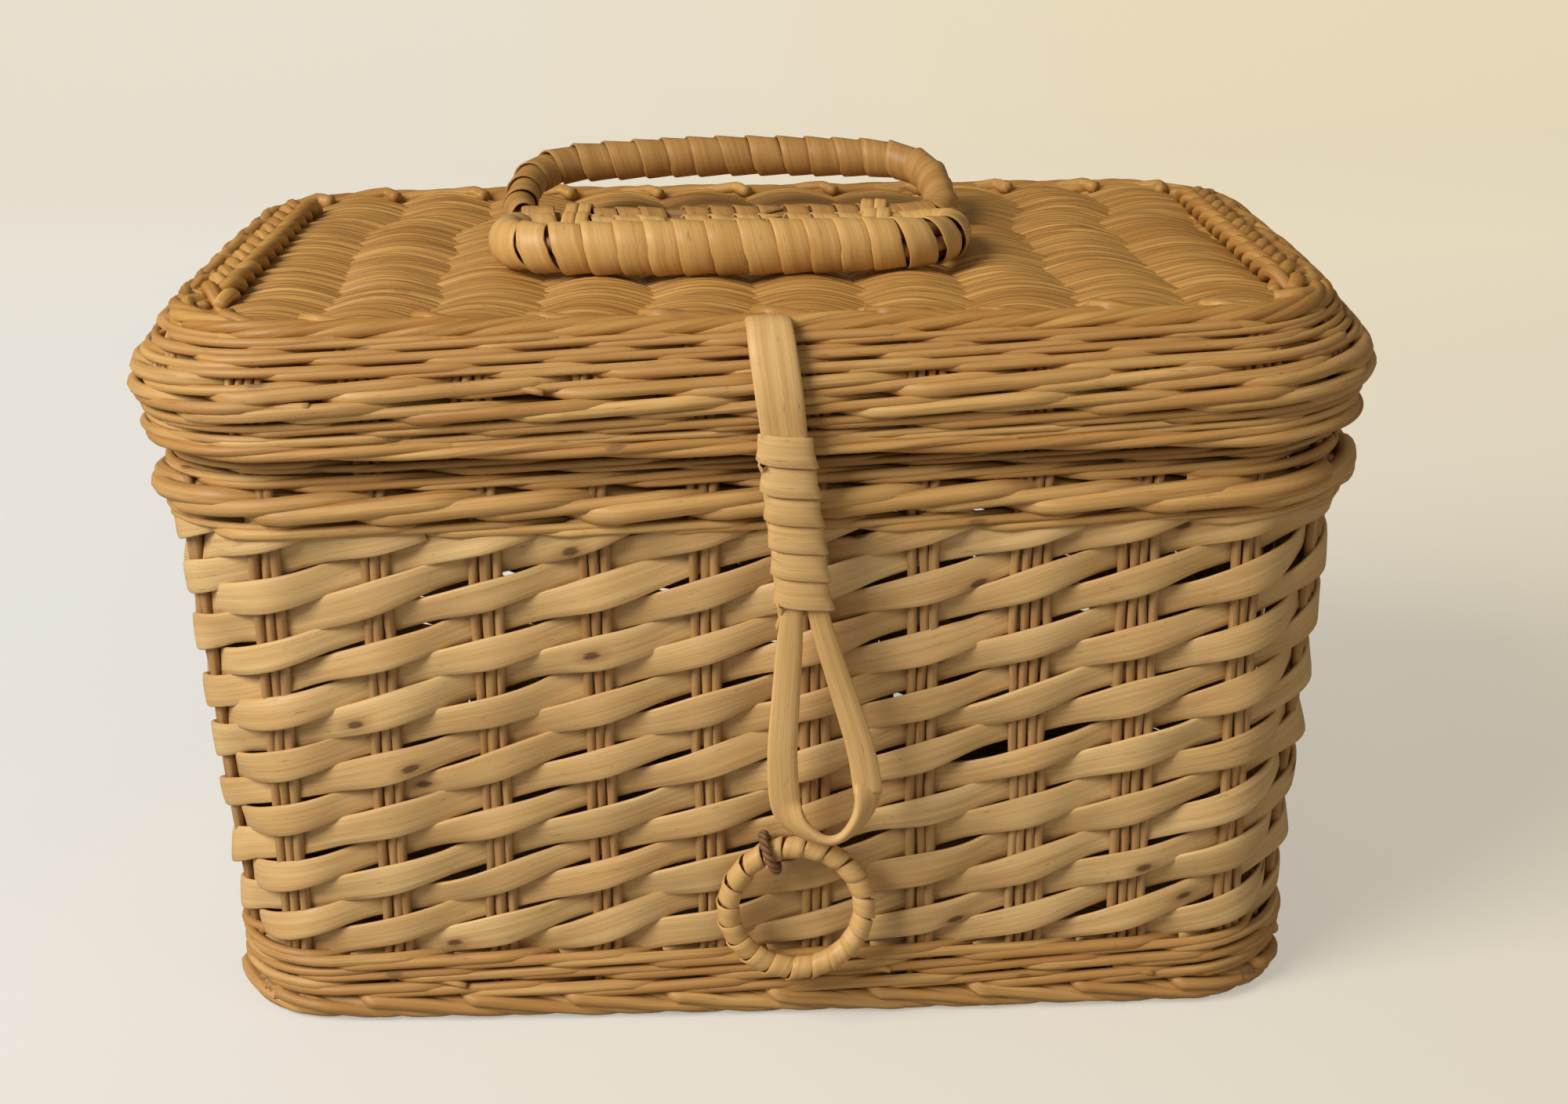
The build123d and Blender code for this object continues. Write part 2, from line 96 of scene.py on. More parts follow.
def outline(share, halfX, halfY, corner):
    # rounded oblong walked anticlockwise from the front middle: straight run, quarter circle, straight run,
    # mirrored for the other quarters, then pushed out by bow * (1 - (x / half)^2); in a quarter the front's
    # stake groups take one even pitch, and those round the end share the rest evenly
    longRun = halfX - basketForm["endBow"] - corner
    shortRun = halfY - basketForm["sideBow"] - corner
    bend = corner * np.pi / 2
    quarter = longRun + shortRun + bend
    walked = np.mod(share, 1.0) * 4
    quadrant = np.floor(walked).astype(int)
    part = walked - quadrant
    passed = np.where(quadrant % 2 == 1, 1 - part, part) * basketForm["stakeGroups"] / 4
    half = basketForm["frontGroups"] / 2
    frontPitch = np.interp(halfX, basketForm["wallHalves"], basketForm["frontPitch"])
    endPitch = (quarter - half * frontPitch) / (basketForm["stakeGroups"] / 4 - half)
    part = np.minimum(passed, half) * frontPitch + np.maximum(passed - half, 0) * endPitch
    turn = np.clip((part - longRun) / corner, 0, np.pi / 2)
    x = np.minimum(part, longRun) + corner * np.sin(turn)
    y = -shortRun - corner * np.cos(turn) + np.maximum(part - longRun - bend, 0)
    mirrorX = np.where(quadrant >= 2, -1, 1)
    mirrorY = np.where((quadrant == 1) | (quadrant == 2), -1, 1)
    outX, outY = np.sin(turn) * mirrorX, -np.cos(turn) * mirrorY
    x, y = x * mirrorX, y * mirrorY
    bowedX = x + outX * basketForm["endBow"] * (1 - (y / halfY) ** 2)
    bowedY = y + outY * basketForm["sideBow"] * (1 - (x / halfX) ** 2)
    return bowedX, bowedY, outX, outY


def onBand(share, height, table, out=0.0):
    # point and outward direction on a band whose half sizes change with height, pushed out by a distance
    share, height, out = np.broadcast_arrays(share, height, out)
    sizes = [np.interp(height, table[:, 0], table[:, i]) for i in (1, 2, 3)]
    x, y, outX, outY = outline(share, *sizes)
    return np.stack([x + outX * out, y + outY * out, height], -1), np.stack([outX, outY, 0 * outX], -1)


def upBand(table, walked, start):
    # height reached after walking a distance up the band's own slope from a starting height
    lengths = np.concatenate([[0], np.cumsum(np.hypot(np.diff(table[:, 0]), np.diff(table[:, 2])))])
    begin = np.interp(start, table[:, 0], lengths)
    return np.interp(begin + walked, lengths, table[:, 0])


def roundProfile(sides):
    # unit circle, anticlockwise
    turn = np.arange(sides) * 2 * np.pi / sides
    return np.stack([np.cos(turn), np.sin(turn)], 1)


# split cane: nearly flat outer face, crisp edges, flatter inner face; across and out both from -1 to 1
skeinProfile = np.array([
    (1.0, 0.0), (0.985, 0.5), (0.9, 0.78), (0.5, 0.96), (0.0, 1.0), (-0.5, 0.96),
    (-0.9, 0.78), (-0.985, 0.5), (-1.0, 0.0), (-0.92, -0.7), (0.0, -0.9), (0.92, -0.7),
])
# thin wrapping cane, with the same two directions
ribbonProfile = np.array([
    (1.0, 0.0), (0.92, 0.75), (0.4, 1.0), (-0.4, 1.0),
    (-0.92, 0.75), (-1.0, 0.0), (-0.85, -0.9), (0.85, -0.9),
])


def strands(paths, outward, across, thick, profile, closed=False, tags=None):
    # a profile carried along each path: point = path + side * across * a + out * thick * b,
    # where side is along x outward and out is side x along
    count, steps = paths.shape[:2]
    sides = len(profile)
    ahead = np.roll(paths, -1, 1) - np.roll(paths, 1, 1) if closed else np.gradient(paths, axis=1)
    along = unit(ahead)
    side = unit(np.cross(along, np.broadcast_to(outward, paths.shape)))
    out = np.cross(side, along)
    across = np.broadcast_to(across, (count, steps))
    thick = np.broadcast_to(thick, (count, steps))
    points = (
        paths[:, :, None]
        + side[:, :, None] * (across[..., None] * profile[:, 0])[..., None]
        + out[:, :, None] * (thick[..., None] * profile[:, 1])[..., None]
    )
    index = np.arange(count * steps * sides).reshape(count, steps, sides)
    nextRing = np.roll(index, -1, 1)
    if not closed:
        index, nextRing = index[:, :-1], nextRing[:, :-1]
    quads = np.stack([index, nextRing, np.roll(nextRing, -1, 2), np.roll(index, -1, 2)], -1)
    edges = np.linalg.norm(np.diff(paths, axis=1, append=paths[:, :1]), axis=-1)
    walked = np.concatenate([np.zeros((count, 1)), np.cumsum(edges, 1)], 1) + dice.random((count, 1)) * 4000
    girth = profile * (across.mean(), thick.mean())
    around = np.concatenate([[0], np.cumsum(np.linalg.norm(np.roll(girth, -1, 0) - girth, axis=1))])
    around = around + dice.random((count, 1)) * 200
    rings = quads.shape[1]
    u = np.broadcast_to(walked[:, :rings, None], quads.shape[:3])
    uNext = np.broadcast_to(walked[:, 1 : rings + 1, None], quads.shape[:3])
    v = np.broadcast_to(around[:, None, :-1], quads.shape[:3])
    vNext = np.broadcast_to(around[:, None, 1:], quads.shape[:3])
    uv = np.stack([np.stack([u, uNext, uNext, u], -1), np.stack([v, v, vNext, vNext], -1)], -1)
    loops, sizes, uvs = [quads.reshape(-1)], [np.full(quads.size // 4, 4)], [uv.reshape(-1, 2)]
    if not closed:
        full = np.arange(count * steps * sides).reshape(count, steps, sides)
        for ring, place in ((full[:, 0], 0), (full[:, -1, ::-1], steps - 1)):
            loops.append(ring.reshape(-1))
            sizes.append(np.full(count, sides))
            capU = np.broadcast_to(walked[:, place, None], (count, sides))
            uvs.append(np.stack([capU, around[:, :-1]], -1).reshape(-1, 2))
    if tags is None:
        tags = dice.random(count)
    return {
        "points": points.reshape(-1, 3),
        "loops": np.concatenate(loops),
        "sizes": np.concatenate(sizes),
        "uv": np.concatenate(uvs),
        "strand": np.repeat(tags, steps * sides),
    }


def makePiece(name, parts, material, body, nodes):
    # joins the parts' arrays into one mesh, in metres, and puts it on its body
    offsets = np.cumsum([0] + [len(part["points"]) for part in parts[:-1]])
    points = np.concatenate([part["points"] for part in parts]) * mm
    loops = np.concatenate([part["loops"] + offset for part, offset in zip(parts, offsets)])
    sizes = np.concatenate([part["sizes"] for part in parts])
    uv = np.concatenate([part["uv"] for part in parts]) * mm
    strand = np.concatenate([part["strand"] for part in parts])
    mesh = bpy.data.meshes.new(name)
    mesh.vertices.add(len(points))
    mesh.vertices.foreach_set("co", points.astype(np.float32).ravel())
    mesh.loops.add(len(loops))
    mesh.loops.foreach_set("vertex_index", loops.astype(np.int32))
    mesh.polygons.add(len(sizes))
    starts = np.concatenate([[0], np.cumsum(sizes)[:-1]])
    mesh.polygons.foreach_set("loop_start", starts.astype(np.int32))
    mesh.polygons.foreach_set("use_smooth", np.ones(len(sizes), bool))
    layer = mesh.uv_layers.new(name="UVMap")
    layer.uv.foreach_set("vector", uv.astype(np.float32).ravel())
    attribute = mesh.attributes.new("strand", "FLOAT", "POINT")
    attribute.data.foreach_set("value", strand.astype(np.float32))
    mesh.update(calc_edges=True)
    mesh.materials.append(material)
    piece = bpy.data.objects.new(name, mesh)
    bpy.context.scene.collection.objects.link(piece)
    if body is not None:
        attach(piece, body)
    if nodes:
        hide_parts(*nodes)
    triangles = int((sizes - 2).sum())
    print(f"{name}: {triangles} triangles")
    return piece


def place(tree, kind, inputs=None, **settings):
    # one node with its settings, values and links
    made = tree.nodes.new(kind)
    for key, value in settings.items():
        setattr(made, key, value)
    for key, value in (inputs or {}).items():
        if isinstance(value, bpy.types.NodeSocket):
            tree.links.new(value, made.inputs[key])
        else:
            made.inputs[key].default_value = value
    return made


def maths(tree, operation, first, second=0.0):
    return place(tree, "ShaderNodeMath", {0: first, 1: second}, operation=operation).outputs[0]


def noiseOf(tree, vector, detail):
    settings = {"Vector": vector, "Scale": 1.0, "Detail": detail, "Roughness": 0.6}
    return place(tree, "ShaderNodeTexNoise", settings, noise_dimensions="3D").outputs["Fac"]


def spanOf(tree, value, low, high, toLow=0.0, toHigh=1.0):
    inputs = {"Value": value, "From Min": low, "From Max": high, "To Min": toLow, "To Max": toHigh}
    return place(tree, "ShaderNodeMapRange", inputs, clamp=True).outputs["Result"]


def blendOf(tree, factor, first, second, kind="MIX"):
    made = place(tree, "ShaderNodeMix", data_type="RGBA", blend_type=kind, clamp_factor=True)
    sockets = [made.inputs["Factor"], made.inputs[6], made.inputs[7]]
    for socket, value in zip(sockets, [factor, first, second]):
        if isinstance(value, bpy.types.NodeSocket):
            tree.links.new(value, socket)
        else:
            socket.default_value = value
    return made.outputs[2]


def caneGrainGroup():
    # grain lines that run along each strand, soft blotches, a tone for each strand, and eye-shaped knots
    group = bpy.data.node_groups.new("caneGrain", "ShaderNodeTree")
    sockets = [
        ("Coordinates", "INPUT", "NodeSocketVector"), ("Strand", "INPUT", "NodeSocketFloat"),
        ("Pale", "INPUT", "NodeSocketColor"), ("Deep", "INPUT", "NodeSocketColor"),
        ("Stain", "INPUT", "NodeSocketColor"), ("Stain Amount", "INPUT", "NodeSocketFloat"),
        ("Knots", "INPUT", "NodeSocketFloat"), ("Base Roughness", "INPUT", "NodeSocketFloat"),
        ("Color", "OUTPUT", "NodeSocketColor"), ("Roughness", "OUTPUT", "NodeSocketFloat"),
        ("Height", "OUTPUT", "NodeSocketFloat"),
    ]
    for name, side, kind in sockets:
        group.interface.new_socket(name=name, in_out=side, socket_type=kind)
    given = group.nodes.new("NodeGroupInput").outputs
    result = group.nodes.new("NodeGroupOutput").inputs
    split = place(group, "ShaderNodeSeparateXYZ", {0: given["Coordinates"]}).outputs
    shift = maths(group, "MULTIPLY", given["Strand"], 61.0)

    def stretched(alongScale, acrossScale):
        x = maths(group, "MULTIPLY", split[0], alongScale)
        y = maths(group, "MULTIPLY", split[1], acrossScale)
        return place(group, "ShaderNodeCombineXYZ", {0: x, 1: y, 2: shift}).outputs[0]

    fine = noiseOf(group, stretched(60.0, 2600.0), 3.0)
    streak = noiseOf(group, stretched(14.0, 620.0), 2.0)
    blotch = noiseOf(group, stretched(16.0, 90.0), 3.0)
    mixed = maths(group, "ADD", maths(group, "MULTIPLY", streak, 0.42), maths(group, "MULTIPLY", fine, 0.2))
    mixed = maths(group, "ADD", mixed, maths(group, "MULTIPLY", blotch, 0.38))
    color = blendOf(group, spanOf(group, mixed, 0.36, 0.62), given["Deep"], given["Pale"])
    tone = maths(group, "FRACT", maths(group, "MULTIPLY", given["Strand"], 17.0))
    color = blendOf(group, maths(group, "MULTIPLY", tone, given["Stain Amount"]), color, given["Stain"])
    flattened = {0: stretched(15.0, 34.0), 1: (1.0, 1.0, 0.0)}
    knotPlace = place(group, "ShaderNodeVectorMath", flattened, operation="MULTIPLY").outputs[0]
    cells = {"Vector": knotPlace, "Scale": 1.0}
    knot = place(group, "ShaderNodeTexVoronoi", cells, voronoi_dimensions="2D")
    chosen = place(group, "ShaderNodeSeparateColor", {0: knot.outputs["Color"]}).outputs[0]
    chosen = maths(group, "MULTIPLY", spanOf(group, chosen, 0.52, 0.54), given["Knots"])
    ragged = maths(group, "ADD", knot.outputs["Distance"], maths(group, "MULTIPLY", fine, 0.05))
    halo = maths(group, "MULTIPLY", spanOf(group, ragged, 0.07, 0.14, 1.0, 0.0), chosen)
    color = blendOf(group, maths(group, "MULTIPLY", halo, 0.55), color, (0.30, 0.15, 0.05, 1.0))
    knotMask = maths(group, "MULTIPLY", spanOf(group, ragged, 0.055, 0.075, 1.0, 0.0), chosen)
    color = blendOf(group, maths(group, "MULTIPLY", knotMask, 0.85), color, (0.09, 0.04, 0.015, 1.0))
    speck = spanOf(group, noiseOf(group, stretched(140.0, 900.0), 2.0), 0.66, 0.74)
    color = blendOf(group, maths(group, "MULTIPLY", speck, 0.45), color, (0.2, 0.1, 0.035, 1.0))
    group.links.new(color, result["Color"])
    rough = maths(group, "ADD", given["Base Roughness"], maths(group, "MULTIPLY", blotch, 0.25))
    group.links.new(rough, result["Roughness"])
    height = maths(group, "ADD", maths(group, "MULTIPLY", fine, 0.5), maths(group, "MULTIPLY", streak, 0.8))
    height = maths(group, "SUBTRACT", height, maths(group, "MULTIPLY", knotMask, 0.8))
    group.links.new(height, result["Height"])
    return group


caneGrain = caneGrainGroup()


def caneMaterial(name, pale, deep, stain, stainAmount, knots, rough, bump=0.5):
    # cane finish: the shared grain group on the strand's own UV, and a plain glossy skin
    material = bpy.data.materials.new(name)
    material.use_nodes = True
    tree = material.node_tree
    shader = tree.nodes["Principled BSDF"]
    uvMap = place(tree, "ShaderNodeUVMap", uv_map="UVMap")
    strand = place(tree, "ShaderNodeAttribute", attribute_name="strand")
    inputs = {
        "Coordinates": uvMap.outputs[0], "Strand": strand.outputs["Fac"],
        "Pale": (*pale, 1), "Deep": (*deep, 1), "Stain": (*stain, 1),
        "Stain Amount": stainAmount, "Knots": knots, "Base Roughness": rough,
    }
    grain = tree.nodes.new("ShaderNodeGroup")
    grain.node_tree = caneGrain
    for key, value in inputs.items():
        if isinstance(value, bpy.types.NodeSocket):
            tree.links.new(value, grain.inputs[key])
        else:
            grain.inputs[key].default_value = value
    relief = {"Height": grain.outputs["Height"], "Strength": bump, "Distance": 0.0004}
    ridge = place(tree, "ShaderNodeBump", relief)
    tree.links.new(grain.outputs["Color"], shader.inputs["Base Color"])
    tree.links.new(grain.outputs["Roughness"], shader.inputs["Roughness"])
    tree.links.new(ridge.outputs["Normal"], shader.inputs["Normal"])
    shader.inputs["Specular IOR Level"].default_value = 0.35
    return material


# name, pale, deep and stain colours, then the amounts of stain and knots, and the roughness
skeinFinish = caneMaterial(
    "wall skeins", (0.71, 0.49, 0.22), (0.49, 0.29, 0.105), (0.50, 0.27, 0.09),
    0.4, 1.0, 0.36,
)
rodFinish = caneMaterial(
    "waled rods", (0.66, 0.41, 0.145), (0.36, 0.175, 0.048), (0.38, 0.17, 0.04),
    0.6, 0.6, 0.36,
)
lidFinish = caneMaterial(
    "lid rods", (0.63, 0.36, 0.10), (0.32, 0.145, 0.03), (0.34, 0.14, 0.025),
    0.6, 0.3, 0.34,
)
wrapFinish = caneMaterial(
    "wrapping cane", (0.73, 0.48, 0.205), (0.54, 0.31, 0.105), (0.56, 0.30, 0.085),
    0.35, 0.4, 0.32,
)
goldFinish = caneMaterial(
    "golden wrapping", (0.70, 0.44, 0.16), (0.50, 0.27, 0.075), (0.56, 0.29, 0.07),
    0.35, 0.3, 0.30,
)
# darker copy of the golden wrapping for the rear handle: painted shade, for the rear handle's face lying in
# shade
shadedWrapFinish = caneMaterial(
    "shaded wrapping", (0.52, 0.29, 0.09), (0.33, 0.16, 0.04), (0.36, 0.17, 0.04),
    0.4, 0.3, 0.33,
)
stakeFinish = caneMaterial(
    "upright canes", (0.52, 0.32, 0.13), (0.30, 0.15, 0.05), (0.33, 0.16, 0.05),
    0.5, 0.3, 0.4,
)
twigFinish = caneMaterial(
    "brown twig", (0.26, 0.13, 0.06), (0.12, 0.055, 0.025), (0.16, 0.08, 0.03),
    0.3, 0.0, 0.5,
)
innerFinish = caneMaterial(
    "inner rods", (0.40, 0.23, 0.085), (0.22, 0.105, 0.035), (0.26, 0.12, 0.035),
    0.4, 0.2, 0.45,
)
print("materials made")

# Wall: split canes in a slanting weave, each in front of one stake group and behind the next
wallSkeins = {
    "halfTurns": 15,
    "low": 25.5,
    "rise": 10.17,
    "reach": 2.9,
    "width": 11.1,
    "thick": 2.3,
    "pointsPerStep": 12,
    "plateau": 1.07,
}


def wallParts(form):
    # weaver k at step t stands over stake k + t, rises evenly, and swings out by a triangle wave of t,
    # cut flat where it bears on the stakes and eased; it is a tenth narrower between two stakes
    count = basketForm["stakeGroups"]
    steps = int((form["halfTurns"] + 0.9) * form["pointsPerStep"])
    step = np.linspace(-0.45, form["halfTurns"] + 0.45, steps)[None]
    weaver = np.arange(count)[:, None]
    height = form["low"] + form["rise"] * step + drift(count, steps, 16, 0.75)
    zigzag = np.clip(form["plateau"] * 2 / np.pi * np.arcsin(np.cos(np.pi * step)), -1, 1)
    swing = -(0.35 * zigzag + 0.65 * (1.5 * zigzag - 0.5 * zigzag**3))
    path, outward = onBand((weaver + 0.5 + step) / count, height, stakeTable, form["reach"] * swing)
    lean = np.zeros_like(outward)
    lean[..., 2] = drift(count, steps, 20, 0.13) + 0.10 * np.cos(2 * np.pi * step)
    broad = 1 + drift(count, steps, 22, 0.07) + dice.normal(0, 0.05, (count, 1))
    broad = broad - 0.10 * (1 - np.abs(zigzag))
    half = form["width"] / 2 * broad
    thick = form["thick"] / 2 * (1 + drift(count, steps, 10, 0.08))
    return [strands(path, outward + lean, half, thick, skeinProfile)]


makePiece("wall_skeins", wallParts(wallSkeins), skeinFinish, "basket", ["wall_weave"])

# Stakes: upright canes in groups of three or four, from the base up into the rim
stakes = {"low": 5.0, "top": 235.0, "points": 44, "pitch": 3.35, "sides": 7}


def stakeParts(form, table, low, top, radius):
    # each cane keeps its own distance from the middle of its group at every height
    groups, shifts = [], []
    for group in range(basketForm["stakeGroups"]):
        canes = 4 if dice.random() < 0.3 else 3
        groups += [group] * canes
        shifts += list((np.arange(canes) - (canes - 1) / 2) * form["pitch"])
    groups, shifts = np.array(groups)[:, None], np.array(shifts)[:, None]
    count = len(groups)
    height = np.linspace(low, top, form["points"])[None]
    sideways = shifts + drift(count, form["points"], 12, 0.35)
    share = (groups + 0.5) / basketForm["stakeGroups"]
    path, outward = onBand(share, height, table, drift(count, form["points"], 12, 0.25))
    path = path + np.cross([0.0, 0.0, 1.0], outward) * sideways[..., None]
    thick = radius * (1 + dice.normal(0, 0.06, (count, 1)))
    return [strands(path, outward, thick, thick, roundProfile(form["sides"]))]


makePiece(
    "wall_stakes", stakeParts(stakes, stakeTable, stakes["low"], stakes["top"], basketForm["stakeRadius"]),
    stakeFinish, "basket", ["front_stakes", "back_stakes", "left_stakes", "right_stakes"],
)


def waleParts(table, start, radii, perStake=7, sides=8, packed=3.45):
    # waling, three rods at a time: in a round, rod c comes out at space c, climbs while it passes two stake
    # groups, and goes in behind the third; one round begins three groups along the back from the next
    parts = []
    walked = 0.0
    groups = basketForm["stakeGroups"]
    steps = groups * perStake + 1
    space = np.linspace(0, groups, steps)[None]
    for ring, radius in enumerate(radii):
        rod = np.arange(3)[:, None]
        cycle = np.mod(space - rod - ring * 1.4, 3.0)
        inFront = np.interp(cycle, [0, 0.3, 1.7, 2.0, 2.3, 2.7, 3.0], [0.5, 1, 1, 0.5, 0, 0, 0.5])
        inFront = inFront * inFront * (3 - 2 * inFront)
        climb = np.interp(cycle, [0, 0.25, 1.75, 2.5, 3.0], [-0.95, -1.0, 1.0, 0.0, -0.95])
        thick = radius * (1 + drift(3, steps, 9, 0.15) + dice.normal(0, 0.06, (3, 1)))
        up = walked + packed / 2 * radius + climb * radius * 0.92 + drift(3, steps, 20, 0.32)
        height = upBand(table, up, start)
        reach = basketForm["stakeRadius"] + thick
        out = reach * (2 * inFront - 1)
        path, outward = onBand(0.5 + (space + 3 * (ring % 3 - 1)) / groups, height, table, out)
        parts.append(strands(path, outward, thick, thick, roundProfile(sides)))
        walked += packed * radius
    return parts


def stubParts(table, spots, radius, length):
    # short cut ends that stick out between the rods and thin by a third, each spot being its share of the
    # way round, its height and its slant
    parts = []
    for share, height, slant in spots:
        step = np.linspace(0, 1, 6)[None]
        path, outward = onBand(
            share + (step - 0.5) * length / 1150.0, height + slant * step * length, table,
            basketForm["stakeRadius"] + radius * (0.2 + 1.9 * step),
        )
        thick = radius * (1 - 0.33 * step)
        parts.append(strands(path, outward, thick, thick, roundProfile(9)))
    return parts


bottomWale = {
    "start": 9.6,
    "radii": [1.75, 1.6, 1.65],
    "stubs": [(-0.09, 17, -0.2), (0.03, 20, -0.2), (0.105, 15, -0.15), (0.62, 19, -0.2)],
}
makePiece(
    "bottom_wale_rods",
    waleParts(stakeTable, bottomWale["start"], bottomWale["radii"], packed=3.3)
    + stubParts(stakeTable, bottomWale["stubs"], 1.6, 13.0),
    rodFinish, "basket", ["bottom_wale"],
)
topWale = {
    "start": 177.6,
    "radii": [1.55, 2.85, 1.5, 1.2],
    "stubs": [
        (-0.128, 188, 0.1), (-0.095, 184, 0.1), (0.058, 189, 0.1), (0.12, 192, -0.1), (0.55, 188, 0.1),
    ],
}
makePiece(
    "top_wale_rods",
    waleParts(stakeTable, topWale["start"], topWale["radii"], 7, 9, packed=3.5)
    + stubParts(stakeTable, topWale["stubs"], 1.75, 13.0),
    rodFinish, "basket", ["top_wale"],
)


def ropeParts(table, height, inset, count, turns, radial, upright, radius, steps=420, sides=9):
    # rolled border, its rods turning round each other: rod m sits at angle 2 pi (m / count + turns * share)
    # round the border's own centre line
    share = np.linspace(0, 1, steps, endpoint=False)[None]
    rod = np.arange(count)[:, None]
    turn = 2 * np.pi * (rod / count + turns * share) + drift(count, steps, 30, 0.12, True)
    up = height + upright * np.sin(turn)
    flat = np.array([(0.0, *table)])
    path, outward = onBand(share, 0 * up, flat, radial * np.cos(turn) - inset)
    path[..., 2] = up
    away = outward * np.cos(turn)[..., None]
    away[..., 2] = np.sin(turn)
    thick = radius * (1 + drift(count, steps, 16, 0.07, True))
    return [strands(path, away, thick, thick, roundProfile(sides), closed=True)]


def tuckedParts(form):
    # outer rods of a border: rod m comes out from behind at its own stake, lies over the tail of the rod
    # before it, and slants across the border, its height and distance out running evenly between two ends
    count, steps = basketForm["stakeGroups"], 34
    step = np.linspace(0, 1, steps)[None]
    rod = np.arange(count)[:, None]
    hook = np.clip(step / 0.09, 0, 1)
    hook = hook * hook * (3 - 2 * hook)
    tail = np.clip((1 - step) / 0.2, 0, 1)
    low, high = np.array(form["from"]), np.array(form["to"])
    height = low[0] + (high[0] - low[0]) * step + drift(count, steps, 5, 0.22)
    out = low[1] + (high[1] - low[1]) * step - 5.0 * (1 - hook) - 2.0 * (1 - tail) ** 2
    height = height + form["hookRise"] * (1 - hook)
    flat = np.array([(0.0, *form["table"])])
    path, outward = onBand((rod + form["span"] * step) / count, 0 * height, flat, out)
    path[..., 2] = height
    uneven = 1 + drift(count, steps, 4, 0.06) + dice.normal(0, 0.07, (count, 1))
    thick = form["radius"] * uneven * (0.75 + 0.25 * tail)
    return [strands(path, outward, thick, thick, roundProfile(10))]


footBorder = {
    "table": (185.5, 108.0, 38.0), "from": (9.0, -2.2), "to": (2.5, -4.6),
    "span": 1.55, "radius": 2.25, "hookRise": 1.5,
}
makePiece(
    "foot_border_rods",
    tuckedParts(footBorder) + ropeParts(footBorder["table"], 4.9, 6.2, 4, -16, 1.9, 2.2, 2.3),
    rodFinish, "basket", ["foot_border"],
)
lidBorder = {
    "table": (187.5, 115.5, 44.0), "from": (246.0, -8.0), "to": (238.8, -1.8),
    "span": 1.6, "radius": 2.45, "hookRise": -1.5,
}
makePiece(
    "lid_border_rods",
    tuckedParts(lidBorder) + ropeParts(lidBorder["table"], 242.4, 5.6, 4, 12, 2.2, 1.6, 2.5),
    lidFinish, "lid", ["lid_border"],
)


rim = {"rows": 9, "low": 203.5, "rise": 3.35, "swing": 2.6, "halfWide": 1.75, "halfThick": 1.8}


def rimParts():
    # inside rim that the lid drops over, thin rods in and out of every stake group: row r swings by
    # (-1)^r cos(pi * stake), one row above another
    groups = basketForm["stakeGroups"]
    steps = groups * 8
    share = np.linspace(0, 1, steps, endpoint=False)[None]
    row = np.arange(rim["rows"])[:, None]
    height = rim["low"] + row * rim["rise"] + drift(rim["rows"], steps, 20, 0.2, True)
    sign = np.where(row % 2 == 0, 1, -1)
    swing = sign * np.cos(np.pi * (share * groups - 0.5))
    path, outward = onBand(share, height, stakeTable, rim["swing"] * swing)
    return [strands(path, outward, rim["halfWide"], rim["halfThick"], roundProfile(7), closed=True)]


makePiece(
    "rim_rods",
    rimParts() + ropeParts((183.5, 107.0, 36.0), 234.0, 4.3, 3, 18, 1.5, 1.1, 1.75),
    innerFinish, "basket", ["body_rim"],
)

# Lid: skirt of waled rods, bottom rod, panel of fine rods over sticks
lidSkirt = {
    "start": 208.6,
    "radii": [1.45, 1.5, 2.15, 2.15, 1.5, 1.45, 1.4],
    "stubs": [(-0.12, 222, 0.1), (-0.06, 228, -0.15), (0.045, 219, 0.1), (0.13, 226, 0.1), (0.6, 224, 0.1)],
}
makePiece(
    "lid_skirt_rods",
    waleParts(lidStakeTable, lidSkirt["start"], lidSkirt["radii"], 6, 8, packed=3.05)
    + stubParts(lidStakeTable, lidSkirt["stubs"], 1.6, 12.0)
    + stakeParts({"pitch": 3.2, "points": 20, "sides": 6}, lidStakeTable, 208.0, 244.0, 1.45),
    rodFinish, "lid", ["lid_skirt"],
)
makePiece(
    "lid_rim_rod", ropeParts((194.25, 120.25, 43.75), 207.6, 0.0, 3, 9, 1.55, 1.5, 1.65),
    rodFinish, "lid", ["lid_rim"],
)


def panelParts(form):
    # rod i runs left to right and swings by (-1)^i cos(pi x / pitch + pi / 2) over and under the sticks
    count = form["rods"]
    y = np.linspace(-form["halfY"], form["halfY"], count)[:, None]
    past = np.maximum(np.abs(y) - (form["spaceY"] - form["corner"]), 0)
    reach = form["spaceX"] - form["corner"] + np.sqrt(np.maximum(form["corner"] ** 2 - past**2, 0))
    steps = form["points"]
    x = reach * np.linspace(-1, 1, steps)[None]
    sign = np.where(np.arange(count)[:, None] % 2 == 0, 1, -1)
    uneven = drift(1, count, 6, 0.09).T + drift(count, steps, 10, 0.03)
    swing = sign * np.cos(np.pi * (x / form["pitch"] + 0.5 + uneven))
    crown = form["crown"] * (1 - (x / form["spaceX"]) ** 2) * (1 - (y / form["spaceY"]) ** 2)
    z = form["middle"] + form["swing"] * swing + crown
    wander = drift(1, steps, 9, 1.1) + drift(count, steps, 14, 0.22)
    path = np.stack([x + 0 * y, y + wander, z + drift(count, steps, 12, 0.2)], -1)
    thick = form["radius"] * (1 + dice.normal(0, 0.12, (count, 1)) + 0.12 * swing)
    return [strands(path, np.array([0.0, 0.0, 1.0]), thick, thick, roundProfile(form["sides"]))]


